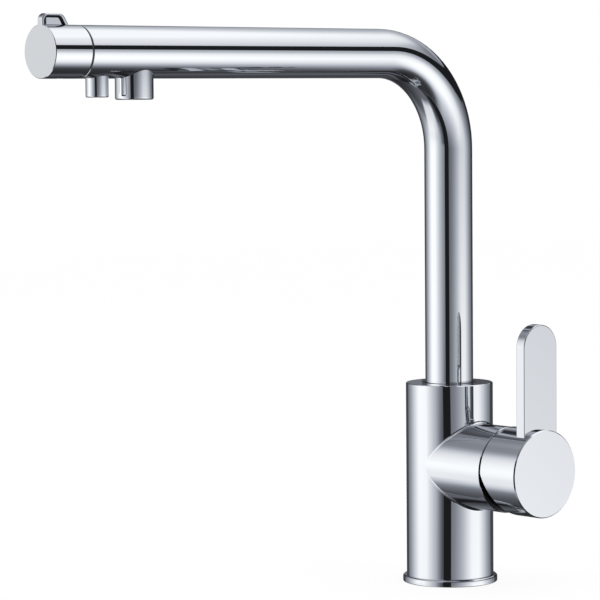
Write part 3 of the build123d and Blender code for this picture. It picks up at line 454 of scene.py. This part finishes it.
# %% [markdown]
# ## Healing the seams
# A CAD program closes a round surface along one line, and in the mesh that it writes the two
# sides of that line have normals half a facet apart. Paint hides that. Chrome shows it as a
# step in every reflection, all along the arm. So each chrome piece that shows is a copy of
# its CAD mesh: doubled points are merged, and where the normals at one point nearly agree,
# they become one. How near is near depends on the facets of each piece, so it is given in
# degrees beside the finish. A sharp edge has normals far apart, and stays sharp.

# %% Copies of the chrome pieces, with their seams healed
merge_distance = 2e-6
sliver = merge_distance / 10
same_normal = 0.99999
shown_chrome = {
    "body_shell": (boss_chrome_painted_shade, 4.5),
    "base_ring": (polished_chrome, 4.5),
    "spout_tube": (polished_chrome, 9.5),
    "main_outlet": (polished_chrome, 9.5),
    "filter_outlet": (polished_chrome, 9.5),
    "filter_knob": (knob_chrome_painted_shade, 3.5),
    "handle_hub": (boss_chrome_painted_shade, 3.5),
    "lever_blade": (blade_chrome_painted_shade, 1.0),
}


def healed_normals(mesh, near_degrees):
    """One normal per corner, where normals that nearly agree at one point are averaged."""
    agreement = math.cos(math.radians(near_degrees))
    spots = {}
    own = [corner.vector.copy() for corner in mesh.corner_normals]
    for loop, normal in zip(mesh.loops, own):
        place = mesh.vertices[loop.vertex_index].co
        spot = spots.setdefault(tuple(round(v / merge_distance) for v in place), [])
        if all(normal.dot(other) < same_normal for other in spot):
            spot.append(normal)
    healed = []
    for loop, normal in zip(mesh.loops, own):
        place = mesh.vertices[loop.vertex_index].co
        spot = spots[tuple(round(v / merge_distance) for v in place)]
        near = [other for other in spot if normal.dot(other) > agreement]
        healed.append(sum(near, Vector((0.0, 0.0, 0.0))).normalized() if near else normal)
    return healed


def healed_copy(name, body, material, near_degrees):
    """A merged copy of a CAD node with healed normals, which stands for the node."""
    node = frame["nodes"][name]
    mesh = node.data.copy()
    mesh.name = "polished_" + name
    normals = healed_normals(mesh, near_degrees)
    shape = bmesh.new()
    shape.from_mesh(mesh)
    layer = shape.loops.layers.float_vector.new("healed")
    shape.faces.ensure_lookup_table()
    corners = iter(normals)
    for face in shape.faces:
        for corner in face.loops:
            corner[layer] = next(corners)
    bmesh.ops.remove_doubles(shape, verts=shape.verts, dist=merge_distance)
    bmesh.ops.dissolve_degenerate(shape, edges=shape.edges, dist=sliver)
    shape.to_mesh(mesh)
    shape.free()
    kept = [tuple(item.vector) for item in mesh.attributes["healed"].data]
    mesh.attributes.remove(mesh.attributes["healed"])
    mesh.polygons.foreach_set("use_smooth", [True] * len(mesh.polygons))
    mesh.normals_split_custom_set(kept)
    mesh.materials.clear()
    mesh.materials.append(material)
    piece = bpy.data.objects.new("polished_" + name, mesh)
    bpy.context.scene.collection.objects.link(piece)
    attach(piece, body)
    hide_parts(name)
    print(piece.name, "points", len(node.data.vertices), "merged to", len(mesh.vertices))
    return piece


for body, names in frame["record"]["behaviour"]["bodies"].items():
    for name in names:
        if name in shown_chrome:
            healed_copy(name, body, *shown_chrome[name])

# %% [markdown]
# ## The studio
# The room is white, but a tap photographed in a plain white room looks like paper. The
# photographer stands soft boxes to the left and right, and lets black show between them: an
# upright black strip behind the camera, a level one that runs away from it to the right, and
# darkness behind the tap that draws its edges. Here that is a large tent which only
# reflections see. It is painted by direction: turn is the angle round the tap from the
# camera, to the right, and rise is the angle above level.
#
# The tent starts as walls that glow by how far they are from the camera's line and by height.
# Patches are then blended over them, each with soft edges. The black strips, which a
# photographer calls flags, come last and have hard edges, because a crisp dark line is what
# tells the eye that a surface is polished. A reflection seen in a second reflection is made
# darker where it is steep, so that corners between two chrome pieces stay deep.

# %% The tent's place, and how bright it is in each direction
tent_radius = 6.0
tent_centre = Vector((0.0, -0.1, 0.2))
camera_turn = camera_bearing - math.radians(90)
dark_middle = math.radians(-3)

# Brightness by the angle away from the camera: soft boxes at the sides, dark behind the tap
around = [
    (0, 0.13), (18, 0.26), (29, 0.4), (40, 0.58), (52, 0.84), (64, 1.1), (84, 1.14), (92, 1.03),
    (98, 0.87), (107, 0.68), (116, 0.48), (127, 0.31), (135, 0.25), (140, 0.08), (158, 0.05), (172, 0.2),
]
# Brightness by height, on the right and on the left, which is the darker side higher up
right_side = [
    (-60, 0.03), (-52, 0.08), (-48, 0.22), (-44, 0.42), (-40, 0.6), (-35, 0.8), (-29, 0.92), (-19, 1.0),
    (-10, 0.88), (-5, 0.79), (2, 0.49), (9, 0.34), (24, 0.58), (33, 0.8), (40, 0.9), (90, 0.6),
]
left_side = [
    (-50, 0.12), (-44, 0.15), (-38, 0.24), (-34, 0.36), (-29, 0.54), (-23, 0.68), (-18, 0.78), (-12, 0.87),
    (-6, 0.93), (0, 0.95), (5, 0.92), (10, 0.89), (16, 0.83), (21, 0.77), (26, 0.64), (31, 0.42),
    (35, 0.31), (40, 0.34), (44, 0.5), (60, 0.5), (90, 0.3),
]
ceiling = [(26, 0.6), (34, 0.78), (42, 0.86), (50, 1.02), (90, 0.8)]
sides_meet = (-20.0, 20.0)

# %% Patches and flags of the tent: where they are, in degrees, and how strong
# A dark corner, high on the right
high_corner_turn = (-17.0, 74.0)
high_corner_soft = 6.0
high_corner_rise = (26.0, 34.0)
high_corner_share = 0.7

# A pale patch behind the tap, on its right and just past the middle
behind_off_camera = (124.0, 148.0)
behind_rise = (10.0, 22.0)
behind_level = 0.42
just_past_the_back = (-180.0, -170.0)
straight_ahead = (0.0, 1.0)

# A brighter soft box, low on the left
low_left_turn = (-99.0, -38.0)
low_left_turn_soft = 7.0
low_left_rise = (-64.0, -18.0)
low_left_rise_soft = 8.0
low_left_climb = (-60.0, -16.0)
low_left_levels = (0.66, 0.86)

# The ceiling, which is lit on the right only, and less so towards the back
overhead_turn = (72.0, 86.0)
overhead_rise = (26.0, 40.0)
overhead_off_camera = (118.0, 152.0)
overhead_at_back = 0.3

# Shade on the left of the camera, below level
flank_turn = (-40.0, -16.0)
flank_end = (-3.0, 3.0)
flank_rise = (-9.0, -4.0)
flank_share = 0.75

# Steep second reflections, which are those whose ray is number two or later
second_ray = (1.4, 1.6)
steep_down = (-24.0, -14.0)
steep_down_share = 0.85
steep_up = (14.0, 30.0)
steep_up_share = 0.5

# The black flags. The level one gets narrower from above, on its way to the back
flag_level = 0.012
flag_turn_soft = 0.8
flag_rise_soft = 0.5
upright_flag_turn = (-17.0, 3.0)
upright_flag_rise = (-70.0, 25.5)
level_flag_turn = (-17.0, 165.0)
level_flag_low = (8.3, 9.3)
level_flag_high = (22.7, 23.7)
narrowing_turn = (92.0, 140.0)
narrowing = 4.5


# %% Helpers that paint by direction
def painted_ramp(tree, value, stops, low, high):
    """Brightness over value, which runs from low to high, through the stops (place, level)."""
    node = add_node(tree, "ShaderNodeValToRGB", {"Fac": remap(tree, value, low, high, 0, 1, smooth=False)})
    ramp = node.color_ramp
    places = [(place - low) / (high - low) for place, level in stops]
    ramp.elements[0].position = places[0]
    ramp.elements[1].position = places[-1]
    for place in places[1:-1]:
        ramp.elements.new(place)
    for element, (place, level) in zip(ramp.elements, stops):
        element.color = (level, level, level, 1.0)
    return node.outputs["Color"]


def directions(tree):
    """Turn round the tap and rise above level as seen from it, and the angle off the camera."""
    place = add_node(tree, "ShaderNodeTexCoord").outputs["Object"]
    centred = add_node(
        tree, "ShaderNodeVectorMath", {0: place, 1: tent_centre}, operation="SUBTRACT"
    ).outputs["Vector"]
    turned = add_node(
        tree,
        "ShaderNodeVectorRotate",
        {"Vector": centred, "Angle": -camera_turn},
        rotation_type="Z_AXIS",
    ).outputs["Vector"]
    unit = add_node(tree, "ShaderNodeVectorMath", {0: turned}, operation="NORMALIZE").outputs["Vector"]
    parts = add_node(tree, "ShaderNodeSeparateXYZ", {"Vector": unit}).outputs
    turn = calculate(tree, "DEGREES", calculate(tree, "ARCTAN2", parts["Y"], parts["X"]))
    rise = calculate(tree, "DEGREES", calculate(tree, "ARCSINE", parts["Z"]))
    ahead = calculate(tree, "MULTIPLY", parts["X"], math.cos(dark_middle))
    ahead = calculate(tree, "MULTIPLY_ADD", parts["Y"], math.sin(dark_middle), ahead)
    off_camera = calculate(tree, "DEGREES", calculate(tree, "ARCCOSINE", ahead))
    return turn, rise, off_camera


# %% The tent that the chrome reflects
def glowing_walls(tree, turn, rise, off_camera):
    """The walls of the tent, with a dark high corner, a lit back and a lit low left."""
    boxes = painted_ramp(tree, off_camera, around, 0, 180)
    right = painted_ramp(tree, rise, right_side, -90, 90)
    left = painted_ramp(tree, rise, left_side, -90, 90)
    by_height = blend_values(tree, fade_in(tree, turn, *sides_meet), left, right)
    walls = product(tree, boxes, by_height)

    high_corner = product(
        tree,
        between(tree, turn, *high_corner_turn, high_corner_soft),
        fade_in(tree, rise, *high_corner_rise, high_corner_share),
    )
    walls = blend_values(tree, high_corner, walls, flag_level)

    past_the_back = fade_out(tree, turn, *just_past_the_back)
    right_or_back = calculate(tree, "MAXIMUM", past_the_back, fade_in(tree, turn, *straight_ahead))
    behind = product(
        tree,
        fade_in(tree, off_camera, *behind_off_camera),
        fade_in(tree, rise, *behind_rise),
        right_or_back,
    )
    walls = blend_values(tree, behind, walls, behind_level)

    low_left = product(
        tree,
        between(tree, turn, *low_left_turn, low_left_turn_soft),
        between(tree, rise, *low_left_rise, low_left_rise_soft),
    )
    low_level = product(tree, boxes, remap(tree, rise, *low_left_climb, *low_left_levels))
    return blend_values(tree, low_left, walls, low_level)


def black_flags(tree, turn, rise):
    """1 on the upright strip behind the camera and on the level one, which narrows to the back."""
    upright = product(
        tree,
        between(tree, turn, *upright_flag_turn, flag_turn_soft),
        between(tree, rise, *upright_flag_rise, flag_rise_soft),
    )
    narrowed = calculate(tree, "ADD", rise, fade_in(tree, turn, *narrowing_turn, narrowing))
    level = product(
        tree,
        between(tree, turn, *level_flag_turn, flag_turn_soft),
        fade_in(tree, rise, *level_flag_low),
        fade_out(tree, narrowed, *level_flag_high),
    )
    return calculate(tree, "MAXIMUM", upright, level)


def tent_brightness(tree):
    """Walls, a ceiling on the right, shade where it is needed, and the flags over them all."""
    turn, rise, off_camera = directions(tree)
    walls = glowing_walls(tree, turn, rise, off_camera)
    above = painted_ramp(tree, rise, ceiling, 0, 90)
    overhead = product(
        tree,
        fade_in(tree, turn, *overhead_turn),
        fade_in(tree, rise, *overhead_rise),
        remap(tree, off_camera, *overhead_off_camera, 1.0, overhead_at_back),
    )
    glow = blend_values(tree, overhead, walls, above)

    flank = product(
        tree,
        fade_in(tree, turn, *flank_turn, flank_share),
        fade_out(tree, turn, *flank_end),
        fade_out(tree, rise, *flank_rise),
    )
    glow = blend_values(tree, flank, glow, flag_level)

    depth = add_node(tree, "ShaderNodeLightPath").outputs["Ray Depth"]
    down = fade_out(tree, rise, *steep_down, steep_down_share)
    steep = calculate(tree, "ADD", down, fade_in(tree, rise, *steep_up, steep_up_share))
    seen_twice = product(tree, fade_in(tree, depth, *second_ray), steep)
    glow = blend_values(tree, seen_twice, glow, flag_level)
    return blend_values(tree, black_flags(tree, turn, rise), glow, flag_level)


# %% [markdown]
# ## Things in the studio
# Each thing round the tap is made the same way: a mesh, an object, a material that glows. The
# tent and the card are seen by reflections alone, so the picture and the shadows don't show
# them.


# %% Helpers for the studio
def studio_thing(name, shape):
    """An object made from a bmesh, which is used up."""
    mesh = bpy.data.meshes.new(name)
    shape.to_mesh(mesh)
    shape.free()
    thing = bpy.data.objects.new(name, mesh)
    bpy.context.scene.collection.objects.link(thing)
    return thing


def only_reflected(thing):
    """Hides a thing from the camera, from soft light and from shadows."""
    thing.visible_camera = False
    thing.visible_diffuse = False
    thing.visible_shadow = False


def bare_material(name, thing):
    """The empty graph of a new material on thing."""
    material = bpy.data.materials.new(name)
    material.use_nodes = True
    material.node_tree.nodes.clear()
    thing.data.materials.append(material)
    return material.node_tree


def show_surface(tree, shader):
    """Plugs a shader into the output of its graph."""
    output = add_node(tree, "ShaderNodeOutputMaterial")
    tree.links.new(shader.outputs[0], output.inputs["Surface"])


# %% The tent
dim_tint = (0.95, 1.0, 1.14, 1)
bright_tint = (0.985, 1, 1.025, 1)
tint_range = (0.2, 1.0)


def make_tent():
    """A big sphere whose inside glows by direction, seen by reflections alone."""
    shape = bmesh.new()
    bmesh.ops.create_uvsphere(shape, u_segments=48, v_segments=24, radius=tent_radius)
    bmesh.ops.translate(shape, verts=shape.verts, vec=tent_centre)
    tent = studio_thing("tent", shape)
    only_reflected(tent)
    tree = bare_material("tent_light", tent)
    level = tent_brightness(tree)
    tint = blend_colours(tree, fade_in(tree, level, *tint_range), dim_tint, bright_tint)
    show_surface(tree, add_node(tree, "ShaderNodeEmission", {"Color": tint, "Strength": level}))
    return tent


tent = make_tent()
print(tent.name, "radius", tent_radius)

# %% [markdown]
# ## A grey card beside the knob
# The flat end of the knob mirrors one small patch of the room. A grey card held there keeps
# that disc a calm pale grey against the white background. From the photographer's side no
# other part of the tap mirrors it.

# %% The card
card_level = 0.7
card_tint = (0.975, 1.0, 1.03, 1)
card_half = 0.045
card_place = Vector((-0.363, -0.5525, 0.311))
card_target = Vector((0.0, -0.287, 0.303))


def make_card():
    """A small square card that only reflections see, facing the knob's end."""
    shape = bmesh.new()
    bmesh.ops.create_grid(shape, x_segments=1, y_segments=1, size=card_half)
    turn = (card_target - card_place).to_track_quat("Z", "Y").to_matrix()
    bmesh.ops.rotate(shape, verts=shape.verts, cent=(0, 0, 0), matrix=turn)
    bmesh.ops.translate(shape, verts=shape.verts, vec=card_place)
    card = studio_thing("grey_card", shape)
    only_reflected(card)
    tree = bare_material("card_light", card)
    show_surface(tree, add_node(tree, "ShaderNodeEmission", {"Color": card_tint, "Strength": card_level}))
    return card


card = make_card()
print(card.name, "at", [round(v, 3) for v in card_place])

# %% [markdown]
# ## White floor, white background
# The picture has no horizon: floor and background are one white. The world is white to the
# camera and to glass and metal, and to everything else it is a soft even light. The floor is
# a plain pale sheet that keeps a trace of the tap's shadow: it glows a little too brightly by
# itself, and the small share that is plain paint takes the shadow.

# %% World and floor
daylight = 0.85
white = (1, 1, 1, 1)
paint = (0.95, 0.95, 0.95, 1)
floor_half = 3.0
floor_drop = 0.0002
floor_glow = 1.02
glow_share = 0.88


def make_world():
    """White where it is looked at, and a soft even light on everything else."""
    world = bpy.data.worlds.new("white_room")
    bpy.context.scene.world = world
    world.use_nodes = True
    tree = world.node_tree
    tree.nodes.clear()
    path = add_node(tree, "ShaderNodeLightPath").outputs
    seen = calculate(tree, "MAXIMUM", path["Is Camera Ray"], path["Is Glossy Ray"])
    seen = calculate(tree, "MAXIMUM", seen, path["Is Transmission Ray"])
    strength = calculate(tree, "MULTIPLY_ADD", seen, 1.0 - daylight, daylight)
    light = add_node(tree, "ShaderNodeBackground", {"Color": white, "Strength": strength})
    output = add_node(tree, "ShaderNodeOutputWorld")
    tree.links.new(light.outputs[0], output.inputs["Surface"])


def make_floor():
    """A pale sheet just under the base ring, almost as bright as the room."""
    shape = bmesh.new()
    bmesh.ops.create_grid(shape, x_segments=1, y_segments=1, size=floor_half)
    bmesh.ops.translate(shape, verts=shape.verts, vec=(0.0, 0.0, -floor_drop))
    floor = studio_thing("floor", shape)
    floor.visible_glossy = False
    tree = bare_material("pale_floor", floor)
    sheet = add_node(tree, "ShaderNodeBsdfDiffuse", {"Color": paint})
    glow = add_node(tree, "ShaderNodeEmission", {"Color": white, "Strength": floor_glow})
    ends = {"Fac": glow_share, 1: sheet.outputs[0], 2: glow.outputs[0]}
    show_surface(tree, add_node(tree, "ShaderNodeMixShader", ends))
    return floor


make_world()
floor = make_floor()
print(floor.name, "half width", floor_half)

# %% [markdown]
# ## Two soft boxes
# The chrome takes its looks from the tent. These two lamps light what isn't chrome, such as
# the rubber washer behind the knob, and give the floor its faint shadow.

# %% Lamps, each with its place and its power in watts
lamp_size = 0.9
lamp_target = Vector((0, -0.1, 0.15))
lamps = {
    "left_box": (Vector((-1.2, -1.4, 0.9)), 6.0),
    "right_box": (Vector((1.6, 0.3, 0.8)), 5.0),
}


def soft_box(name, place, watts):
    """A square area light aimed at the tap, hidden from reflections."""
    data = bpy.data.lights.new(name, "AREA")
    data.energy = watts
    data.size = lamp_size
    lamp = bpy.data.objects.new(name, data)
    lamp.location = place
    lamp.rotation_euler = (lamp_target - place).to_track_quat("-Z", "Y").to_euler()
    lamp.visible_camera = False
    lamp.visible_glossy = False
    bpy.context.scene.collection.objects.link(lamp)


for name, (place, watts) in lamps.items():
    soft_box(name, place, watts)
print("studio lamps", len(bpy.data.lights))

# %% Plain view settings
bpy.context.scene.view_settings.view_transform = "Standard"
